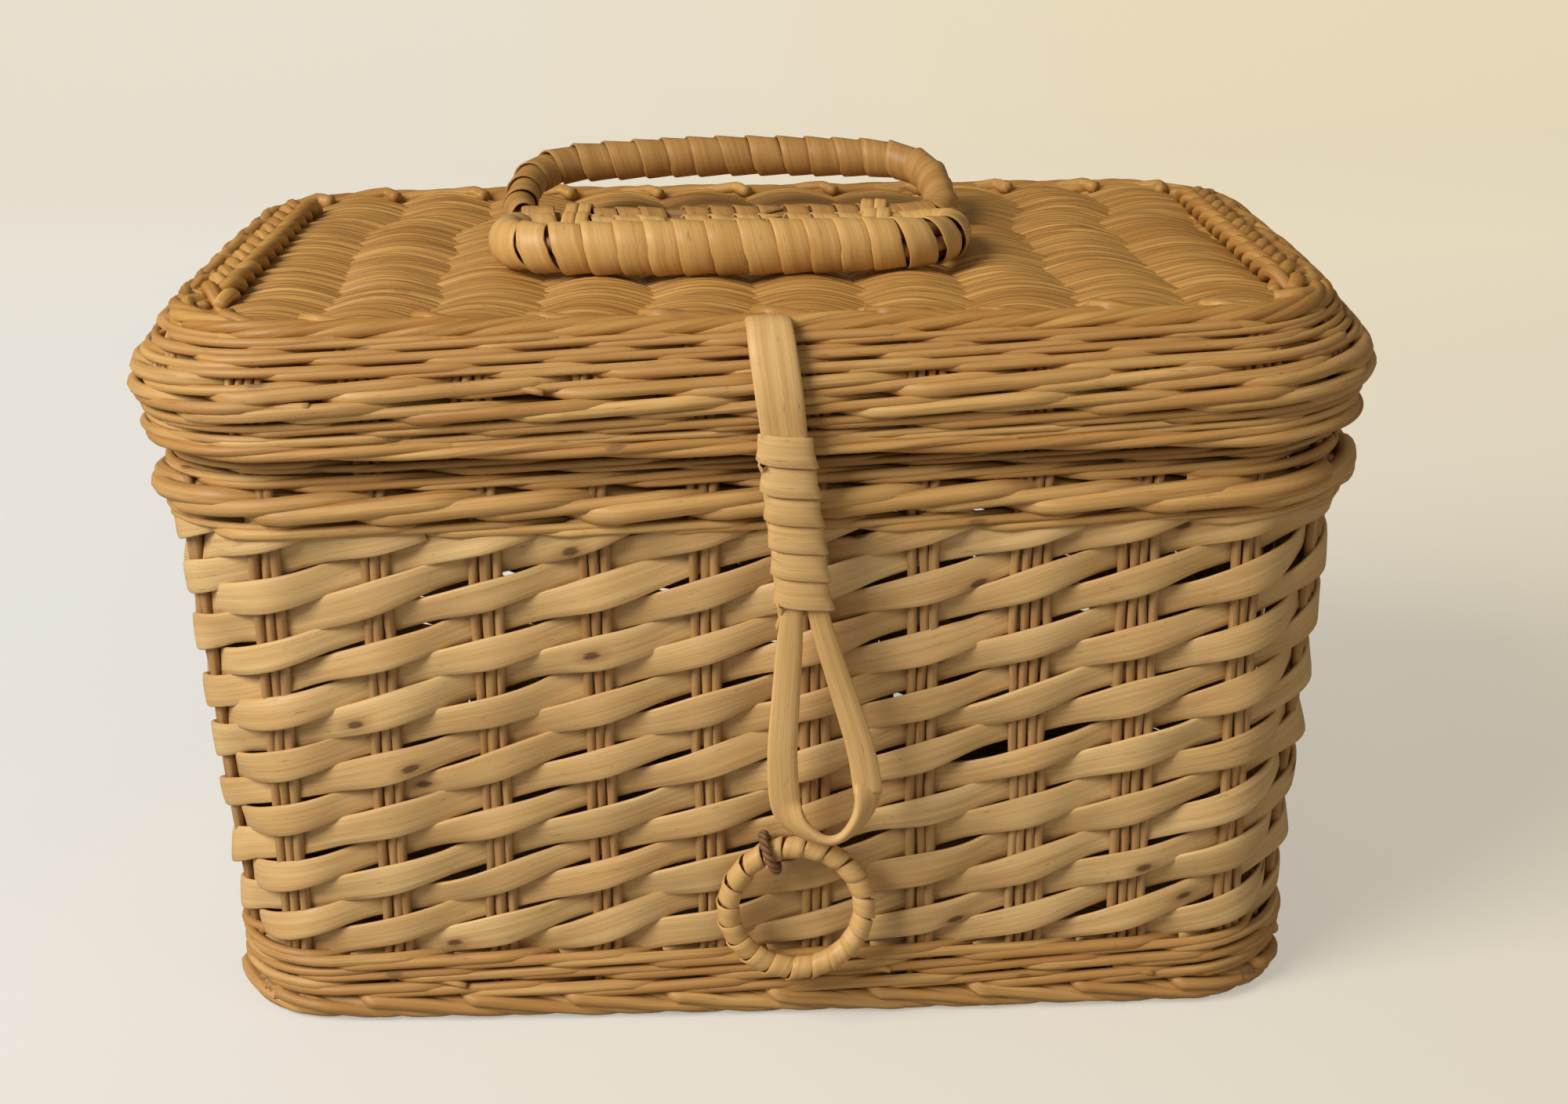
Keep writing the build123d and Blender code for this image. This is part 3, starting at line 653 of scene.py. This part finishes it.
lidPanel = {
    "rods": 126, "halfY": 103.5, "spaceX": 180.0, "spaceY": 108.0, "corner": 36.0, "points": 107,
    "pitch": 33.6, "middle": 240.6, "swing": 3.3, "crown": 0.6, "radius": 1.62, "sides": 6,
}
makePiece("lid_panel_rods", panelParts(lidPanel), lidFinish, "lid", ["lid_weave"])
basePanel = {
    "rods": 92, "halfY": 95.0, "spaceX": 178.0, "spaceY": 100.5, "corner": 30.0, "points": 107,
    "pitch": 33.6, "middle": 7.0, "swing": 3.0, "crown": 0.0, "radius": 2.1, "sides": 6,
}
makePiece("base_rods", panelParts(basePanel), innerFinish, "basket", ["base_weave"])


sticks = {"pairs": 10, "pairPitch": 33.6, "apart": 4.8, "outerDrop": 9}


def stickParts(half, height, radius):
    # pairs of round sticks from front to back, the outer pairs shorter
    pairs = sticks["pairs"]
    group = np.repeat(np.arange(pairs), 2)
    side = np.tile([-0.5, 0.5], pairs)
    x = ((group - (pairs - 1) / 2) * sticks["pairPitch"] + side * sticks["apart"])[:, None]
    outer = (group == 0) | (group == pairs - 1)
    length = np.where(outer, half - sticks["outerDrop"], half)[:, None]
    y = length * np.linspace(-1, 1, 12)[None]
    path = np.stack([x + 0 * y, y, height + 0 * y + drift(2 * pairs, 12, 5, 0.2)], -1)
    return [strands(path, np.array([0.0, 0.0, 1.0]), radius, radius, roundProfile(8))]


makePiece("lid_stick_canes", stickParts(104, 240.6, 2.0), stakeFinish, "lid", ["lid_sticks"])
makePiece(
    "base_stick_canes", stickParts(95, 7.0, 2.1), stakeFinish, "basket", ["base_sticks"],
)
print("woven parts made")

# Plaits along the lid's ends
plait = {
    "middle": 169, "halfLength": 80, "fallLength": 12, "fall": 4.0, "pitch": 35.0,
    "swing": 4.2, "height": 246.6, "rise": 1.7, "halfWide": 2.5, "halfThick": 2.3,
}


def plaitParts(middleX):
    # strand c: x = a sin(theta), z = b sin(2 theta), theta = 2 pi (y / pitch + c / 3); its ends sink
    y = np.linspace(-plait["halfLength"], plait["halfLength"], 150)[None]
    rod = np.arange(3)[:, None]
    turn = 2 * np.pi * (y / plait["pitch"] + rod / 3)
    level = plait["halfLength"] - plait["fallLength"]
    fall = np.clip((np.abs(y) - level) / plait["fallLength"], 0, 1) ** 2
    path = np.stack([
        middleX + plait["swing"] * np.sin(turn) + 0 * rod,
        y + 0 * turn,
        plait["height"] + plait["rise"] * np.sin(2 * turn) - plait["fall"] * fall,
    ], -1)
    return [strands(path, np.array([0.0, 0.0, 1.0]), plait["halfWide"], plait["halfThick"], roundProfile(9))]


for label, middleX in (("left", -plait["middle"]), ("right", plait["middle"])):
    makePiece(
        f"lid_plait_{label}", plaitParts(middleX), lidFinish, "lid", [f"lid_side_braid_{label}"],
    )


def roundedPath(points, cuts, steps):
    # a path whose corners are eased: from a cut's length before the corner to the same after it,
    # (1-t)^2 A + 2t(1-t) C + t^2 B, then spaced evenly along its length
    points = np.array(points, float)
    corners = points[1:-1]
    cuts = np.array(cuts, float)[:, None]
    before = corners + unit(points[:-2] - corners) * cuts
    after = corners + unit(points[2:] - corners) * cuts
    t = np.linspace(0, 1, 15)[:, None, None]
    eased = (1 - t) ** 2 * before + 2 * t * (1 - t) * corners + t**2 * after
    eased = eased.transpose(1, 0, 2).reshape(-1, points.shape[1])
    line = np.concatenate([points[:1], eased, points[-1:]])
    length = np.concatenate([[0], np.cumsum(np.linalg.norm(np.diff(line, axis=0), axis=1))])
    even = np.linspace(0, length[-1], steps)
    return np.stack([np.interp(even, length, line[:, i]) for i in range(points.shape[1])], 1)


def wrappedParts(
    path, flatSide, halfWide, halfThick, pitch, width, thick,
    begin=0.0, end=1.0, tilt=0.10, perTurn=22, hand=1,
):
    # ribbon round a path: at turn n it stands at angle 2 pi n and n * pitch along, out by the oval's halves
    lengths = np.concatenate([[0], np.cumsum(np.linalg.norm(np.diff(path, axis=0), axis=1))])
    total = lengths[-1]
    turns = (end - begin) * total / pitch
    steps = max(int(turns * perTurn), 8)
    n = np.linspace(0, turns, steps)
    at = begin * total + n * pitch + 0.06 * pitch * np.sin(7.3 * np.floor(n))
    centre = np.stack([np.interp(at, lengths, path[:, i]) for i in range(3)], 1)
    along = unit(np.stack([np.interp(at, lengths, np.gradient(path[:, i])) for i in range(3)], 1))
    flatSide = np.broadcast_to(flatSide, centre.shape)
    inPlane = unit(np.cross(along, flatSide))
    upright = np.cross(inPlane, along)
    wide = np.interp(at / total, np.linspace(0, 1, len(halfWide)), halfWide)[:, None]
    high = np.interp(at / total, np.linspace(0, 1, len(halfThick)), halfThick)[:, None]
    turn = (hand * 2 * np.pi * n)[:, None]
    offset = inPlane * wide * np.cos(turn) + upright * high * np.sin(turn)
    outward = unit(inPlane * np.cos(turn) / wide + upright * np.sin(turn) / high)
    ribbon = (centre + offset)[None]
    leaning = (outward + along * tilt)[None]
    half = width / 2 * (1 + drift(1, steps, max(int(turns), 2), 0.05))
    return strands(ribbon, leaning, half, thick / 2, ribbonProfile)


def handleFrame(y, tilt, back):
    # bar direction, reach of the bow away from the bar, and the flat side's direction
    turn = np.radians(tilt)
    reach = np.array([0.0, np.cos(turn) if back else -np.cos(turn), np.sin(turn)])
    flatSide = np.array([0.0, -np.sin(turn) if back else np.sin(turn), np.cos(turn)])
    return np.array([-7.0, y, 251.3]), reach, flatSide


handles = {
    "barHalf": 60,
    "bow": [(-60, 0), (-76, 0), (-73, 46), (0, 53), (73, 46), (76, 0), (60, 0)],
    "bowCuts": [12.8, 23.0, 34.0, 23.0, 12.8],
    "endRadius": 4.3,
    "skin": 0.3,
    "barRadius": 4.1,
    "barPitch": 8.6,
    "barWrapWidth": 8.2,
    "barWraps": [(0.0, 0.30), (0.345, 0.62), (0.64, 1.0)],
}


def handleParts(y, tilt, back, thick, wide, pitch, hand):
    # D of rods: the bow swells from its ends by sin(pi * share)^0.6, wrapped once round its whole length,
    # and the bar is wrapped in three stretches with bare rods between them
    centre, reach, flatSide = handleFrame(y, tilt, back)
    flat = roundedPath(handles["bow"], handles["bowCuts"], 160)
    bow = centre + flat[:, :1] * np.array([1.0, 0, 0]) + flat[:, 1:] * reach
    share = np.linspace(0, 1, 60)
    full = np.sin(share * np.pi) ** 0.6
    thin, skin = handles["endRadius"], handles["skin"]
    halfWide = thin + (wide / 2 - thin) * full - skin
    halfThick = thin + (thick / 2 - thin) * full - skin
    barHalf = handles["barHalf"]
    bar = centre + np.linspace(-barHalf, barHalf, 80)[:, None] * np.array([1.0, 0, 0])
    even = np.full(9, handles["barRadius"])
    wraps = [wrappedParts(bow, flatSide, halfWide, halfThick, pitch, pitch * 1.06, 1.0, hand=hand)]
    for begin, end in handles["barWraps"]:
        wraps.append(wrappedParts(
            bar, flatSide, even, even, handles["barPitch"], handles["barWrapWidth"], 0.9,
            begin, end, hand=hand,
        ))
    rods = np.arange(4)[:, None] * np.pi / 2 + 0.6
    step = np.linspace(0, 1, 160)[None]
    spin = rods + step * 5
    inPlane = unit(np.cross(np.gradient(bow, axis=0), flatSide))
    wideLine = np.interp(step, share, halfWide)
    thickLine = np.interp(step, share, halfThick)
    coreRadius = np.minimum(wideLine, thickLine) * 0.42
    offset = (
        inPlane[None] * (np.cos(spin) * (wideLine - coreRadius - 0.7))[..., None]
        + flatSide * (np.sin(spin) * (thickLine - coreRadius - 0.7))[..., None]
    )
    cores = [strands(bow[None] + offset, flatSide, coreRadius, coreRadius, roundProfile(8))]
    barRods = np.arange(3)[:, None] * 2 * np.pi / 3 + np.linspace(0, 1, 80)[None] * 4
    barOffset = np.stack([0 * barRods, 1.7 * np.cos(barRods), 1.7 * np.sin(barRods)], -1)
    cores.append(strands(bar[None] + barOffset, np.array([0.0, 0.0, 1.0]), 1.9, 1.9, roundProfile(8)))
    return wraps, cores


for label, y, tilt, back, thick, wide, pitch, hand in (
    ("front", -3.0, 4.2, False, 17.6, 14.0, 10.2, -1),
    ("rear", 13.0, 16.0, True, 14.0, 13.0, 10.6, -1),
):
    wraps, cores = handleParts(y, tilt, back, thick, wide, pitch, hand)
    # the rear handle takes the darker copy of the golden wrapping, which is painted shade
    finish = shadedWrapFinish if back else goldFinish
    body = f"{label}_handle"
    makePiece(f"{body}_wrapping", wraps, finish, body, [f"{body}_wrap"])
    makePiece(f"{body}_rods", cores, innerFinish, body, [f"{body}_core"])
    for side, x in (("left", -59.0), ("right", 45.0)):
        bar = np.array([x, y, 251.3]) + np.linspace(-4.6, 4.6, 12)[:, None] * np.array([1.0, 0, 0])
        even = np.full(5, 5.7)
        tie = [wrappedParts(bar, np.array([0.0, 0.0, 1.0]), even, even, 4.4, 4.5, 1.3, perTurn=26)]
        makePiece(
            f"{label}_lashing_{side}", tie, goldFinish, "lid", [f"{body}_lashing_{side}"],
        )
print("handles made")

# Latch: one cane bent over the border, split into a teardrop loop, and bound above it
latch = {
    "topX": 4.0, "halfWidth": 7.25, "halfThick": 1.9,
    "start": (8.0, -128.1, 213.0), "end": (22.5, -121.5, 70.0),
    "bindingDrop": 2.0, "bindingLength": 57.0,
}


def latchFrame():
    # start of the straight part, its direction down, the direction across it, and its length
    start, end = np.array(latch["start"]), np.array(latch["end"])
    down = unit(end - start)
    side = unit(np.array([-down[2], 0.0, down[0]]))
    return start, down, side, np.linalg.norm(end - start)


def latchCaneParts():
    # the flat cane from its tail in the panel, over the border and down to the binding
    start, down = latchFrame()[:2]
    x = latch["topX"]
    foot = start + down * (latch["bindingDrop"] + latch["bindingLength"] - 4)
    line = roundedPath(
        [(x - 0.8, -104.0, 241.0), (x - 0.5, -110.0, 244.0), (x, -116.6, 245.0), (x + 0.9, -123.6, 238.5),
         (x + 2.6, -128.6, 226.0), tuple(start), tuple(foot)],
        [3.0, 3.4, 4.2, 7.0, 5.0], 90,
    )[None]
    along = unit(np.gradient(line, axis=1))
    outward = np.cross(along, np.array([1.0, 0.0, 0.0]))
    narrowed = np.interp(np.linspace(0, 1, 90), [0, 0.2, 0.75, 1], [0.9, 1.0, 1.0, 0.9])
    wide = latch["halfWidth"] * (1 + drift(1, 90, 6, 0.03)) * narrowed
    return [strands(line, outward, wide, latch["halfThick"], skeinProfile, tags=np.array([0.31]))]


def latchLoopParts():
    # one strip down the left leg, round the foot of the loop and up the right leg; its face turns from
    # the front towards the outside of the loop and back
    start, down, side, length = latchFrame()
    front = np.array([0.0, -1.0, 0.0])
    legTop = latch["bindingDrop"] + latch["bindingLength"] - 8
    flat = roundedPath(
        [(-3.0, legTop), (-5.0, legTop + 12), (-13.2, length - 34), (-13.4, length - 15),
         (0.5, length - 1.8),
         (13.2, length - 16), (13.6, length - 32), (4.6, legTop + 12), (3.0, legTop)],
        [8.0, 12.0, 7.0, 11.0, 7.0, 12.0, 8.0], 110,
    )
    share = np.linspace(0, 1, 110)
    around = np.sin(np.clip((share - 0.38) / 0.24, 0, 1) * np.pi) ** 0.8
    path = start + flat[:, :1] * side + flat[:, 1:] * down + front * (around * 1.6 + 0.3)[:, None]
    centre = start + down * (length - 22)
    radial = unit(path - centre)
    turn = (around * 1.15)[:, None]
    outward = front * np.cos(turn) + radial * np.sin(turn)
    wide = np.interp(share, [0, 0.1, 0.35, 0.5, 0.65, 0.9, 1], [3.2, 4.2, 5.0, 4.4, 4.7, 3.6, 3.0])
    return [strands(path[None], outward[None], wide[None], 1.7, skeinProfile, tags=np.array([0.31]))]


latchPiece = makePiece(
    "latch_cane", latchCaneParts(), wrapFinish, None, ["latch_tab", "latch_strap"],
)
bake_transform(latchPiece)
makePiece("latch_loop", latchLoopParts(), wrapFinish, "latch", [])


def latchWrapParts():
    # flat oval turns round the straight part
    start, down = latchFrame()[:2]
    drop = latch["bindingDrop"]
    line = start + down * np.linspace(drop, drop + latch["bindingLength"], 30)[:, None]
    front = np.array([0.0, -1.0, 0.0])
    wide, thick = np.full(5, 8.0), np.full(5, 3.0)
    return [wrappedParts(line, front, wide, thick, 9.4, 9.3, 0.9, tilt=-0.12, perTurn=28)]


makePiece("latch_wrapping", latchWrapParts(), wrapFinish, "latch", ["latch_binding"])

# Ring on the front wall, and the twisted shoot that ties it there
ring = {
    "centre": (10.6, -114.6, 46.5), "radius": 22.4, "wrap": 3.3, "pitch": 7.05, "wrapWidth": 6.9,
    "rodSpread": 1.35, "rodRadius": 1.3, "rodTurns": 6,
    "tieMiddle": (2.21, -114.6, 67.27), "tieRadius": 6.1, "tieTurns": 7,
    "shootSpread": 0.75, "shootRadius": 0.95,
}


def ringWrapParts():
    # round turns along one circle
    turn = np.linspace(0, 2 * np.pi, 200) + 0.6
    line = np.array(ring["centre"]) + ring["radius"] * np.stack([np.cos(turn), 0 * turn, np.sin(turn)], 1)
    front, even = np.array([0.0, -1.0, 0.0]), np.full(5, ring["wrap"])
    return [wrappedParts(line, front, even, even, ring["pitch"], ring["wrapWidth"], 0.8, perTurn=20)]


def ringRodParts():
    # three rods twisted round the circle: rod m at angle 2 pi m / 3 + turns * theta about it
    turn = np.linspace(0, 2 * np.pi, 160, endpoint=False)[None]
    spin = 2 * np.pi * np.arange(3)[:, None] / 3 + ring["rodTurns"] * turn
    radial = np.stack([np.cos(turn), 0 * turn, np.sin(turn)], -1)
    path = np.array(ring["centre"]) + radial * (ring["radius"] + ring["rodSpread"] * np.cos(spin))[..., None]
    path[..., 1] += ring["rodSpread"] * np.sin(spin)
    front = np.array([0.0, -1.0, 0.0])
    return [strands(path, front, ring["rodRadius"], ring["rodRadius"], roundProfile(7), closed=True)]


def ringTieParts():
    # a thin shoot twisted on itself round the ring's section, through the wall and back
    middle = np.array(ring["tieMiddle"])
    radial = unit(middle - np.array(ring["centre"]))
    turn = np.linspace(0, 2 * np.pi, 90, endpoint=False)[None]
    spin = np.arange(2)[:, None] * np.pi + ring["tieTurns"] * turn
    reach = ring["tieRadius"] + ring["shootSpread"] * np.cos(spin)
    path = middle + radial * (reach * np.cos(turn))[..., None]
    path[..., 1] += reach * np.sin(turn)
    across = np.cross(radial, np.array([0.0, 1.0, 0.0]))
    path = path + across * (ring["shootSpread"] * np.sin(spin))[..., None]
    thick = ring["shootRadius"]
    return [strands(path, np.array([0.0, -1.0, 0.2]), thick, thick, roundProfile(8), closed=True)]


makePiece("ring_wrapping", ringWrapParts(), wrapFinish, "ring", ["ring_wrap"])
makePiece("ring_rods", ringRodParts(), innerFinish, "ring", ["ring_core"])
makePiece("ring_tie", ringTieParts(), twigFinish, "basket", ["ring_lashing"])

# Cane hinges at the back, round the lid's bottom rod and the top wale: y and z of the two ends of the loop
hinge = {
    "apart": 105.0, "low": (112.0, 190.0), "high": (119.36, 207.6), "radius": 4.75, "pitch": 2.1, "cane": 1.1,
}


def hingeParts(x):
    # three turns side by side, each a flat loop with two parallel runs and two half circles
    low, high = np.array(hinge["low"]), np.array(hinge["high"])
    lean = unit(high - low)
    across = np.array([-lean[1], lean[0]])
    turn = np.linspace(0, np.pi, 20)[:, None]
    radius = hinge["radius"]
    top = high + radius * (across * -np.cos(turn) + lean * np.sin(turn))
    bottom = low + radius * (across * np.cos(turn) - lean * np.sin(turn))
    loop = np.concatenate([top, bottom])
    places = x + np.array([-hinge["pitch"], 0.0, hinge["pitch"]])
    path = np.stack([np.stack([np.full(40, place), loop[:, 0], loop[:, 1]], 1) for place in places])
    middle = np.array([x, *(low + high) / 2])
    return [strands(path, path - middle, hinge["cane"], hinge["cane"], roundProfile(8), closed=True)]


for label, x in (("left", -hinge["apart"]), ("right", hinge["apart"])):
    makePiece(f"hinge_tie_{label}", hingeParts(x), wrapFinish, "basket", [f"hinge_loop_{label}"])
print("latch, ring and hinges made")


def stageSweep():
    # pale floor that curves up into a wall, x along it and one profile across; cooler and greyer on the left,
    # painted shade, and creamier on the right, the painted glow of a warm lamp
    x = np.linspace(-5, 5, 41)[:, None]
    turn = np.linspace(0, np.pi / 2, 16)
    y = np.concatenate([[-4.0, -2.0, 0.0], 1.6 + 1.2 * np.sin(turn), [2.8]])
    z = np.concatenate([[0.0, 0.0, 0.0], 1.2 - 1.2 * np.cos(turn), [4.5]])
    points = np.stack([x + 0 * y, y + 0 * x, z + 0 * x], -1)
    index = np.arange(points[..., 0].size).reshape(points.shape[:2])
    faces = np.stack([index[:-1, :-1], index[1:, :-1], index[1:, 1:], index[:-1, 1:]], -1).reshape(-1, 4)
    mesh = bpy.data.meshes.new("stage_sweep")
    mesh.from_pydata(points.reshape(-1, 3).tolist(), [], faces.tolist())
    mesh.polygons.foreach_set("use_smooth", np.ones(len(faces), bool))
    sweep = bpy.data.objects.new("stage_sweep", mesh)
    bpy.context.scene.collection.objects.link(sweep)
    material = bpy.data.materials.new("pale paper")
    material.use_nodes = True
    tree = material.node_tree
    spot = place(tree, "ShaderNodeTexCoord").outputs["Object"]
    split = place(tree, "ShaderNodeSeparateXYZ", {0: spot}).outputs
    # painted light across the stage: cool grey on the left is painted shade, cream on the right is a warm
    # lamp's painted glow
    across = spanOf(tree, split[0], -0.35, 0.45)
    floor = blendOf(tree, across, (0.80, 0.79, 0.76, 1), (0.83, 0.75, 0.60, 1))
    wall = blendOf(tree, across, (0.84, 0.78, 0.66, 1), (0.86, 0.76, 0.55, 1))
    color = blendOf(tree, spanOf(tree, split[1], 0.3, 1.8), floor, wall)
    shown = place(tree, "ShaderNodeLightPath").outputs["Is Camera Ray"]
    dimmed = blendOf(tree, 0.5, color, (0.0, 0.0, 0.0, 1.0))
    tree.links.new(dimmed, tree.nodes["Principled BSDF"].inputs["Base Color"])
    tree.links.new(color, tree.nodes["Principled BSDF"].inputs["Emission Color"])
    glow = maths(tree, "MULTIPLY", shown, spanOf(tree, split[1], -0.2, 1.2, 0.5, 0.72))
    tree.links.new(glow, tree.nodes["Principled BSDF"].inputs["Emission Strength"])
    tree.nodes["Principled BSDF"].inputs["Roughness"].default_value = 0.9
    tree.nodes["Principled BSDF"].inputs["Specular IOR Level"].default_value = 0.1
    mesh.materials.append(material)


stageSweep()


def softLamp(name, spot, aim, size, power, color):
    lamp = bpy.data.lights.new(name, "AREA")
    lamp.shape = "DISK"
    lamp.size = size
    lamp.energy = power
    lamp.color = color
    holder = bpy.data.objects.new(name, lamp)
    holder.location = spot
    holder.rotation_euler = (Vector(aim) - Vector(spot)).to_track_quat("-Z", "Y").to_euler()
    bpy.context.scene.collection.objects.link(holder)


softLamp("key", (-1.5, -1.1, 1.5), (0, 0, 0.12), 1.3, 58, (1.0, 0.96, 0.90))
softLamp("fill", (1.5, -1.3, 0.9), (0, 0, 0.12), 1.6, 5, (1.0, 0.93, 0.82))
world = bpy.data.worlds.new("room")
world.use_nodes = True
world.node_tree.nodes["Background"].inputs["Color"].default_value = (0.96, 0.93, 0.86, 1)
world.node_tree.nodes["Background"].inputs["Strength"].default_value = 0.22
bpy.context.scene.world = world

# where the photograph was taken from: millimetres, and degrees down, to the right and rolled
camera = {"lens": 50.0, "place": (-6.1, -752.6, 398.7), "down": 19.61, "right": 1.25, "roll": -0.6}
cameraData = bpy.data.cameras.new("photo_camera")
cameraData.lens = camera["lens"]
cameraData.sensor_width = 36.0
cameraHolder = bpy.data.objects.new("photo_camera", cameraData)
cameraHolder.matrix_world = (
    Matrix.Translation(np.array(camera["place"]) * mm)
    @ Matrix.Rotation(np.radians(-camera["right"]), 4, "Z")
    @ Matrix.Rotation(np.radians(90 - camera["down"]), 4, "X")
    @ Matrix.Rotation(np.radians(camera["roll"]), 4, "Z")
)
bpy.context.scene.collection.objects.link(cameraHolder)
bpy.context.scene.camera = cameraHolder
bpy.context.scene.view_settings.view_transform = "Standard"

print("scene made")
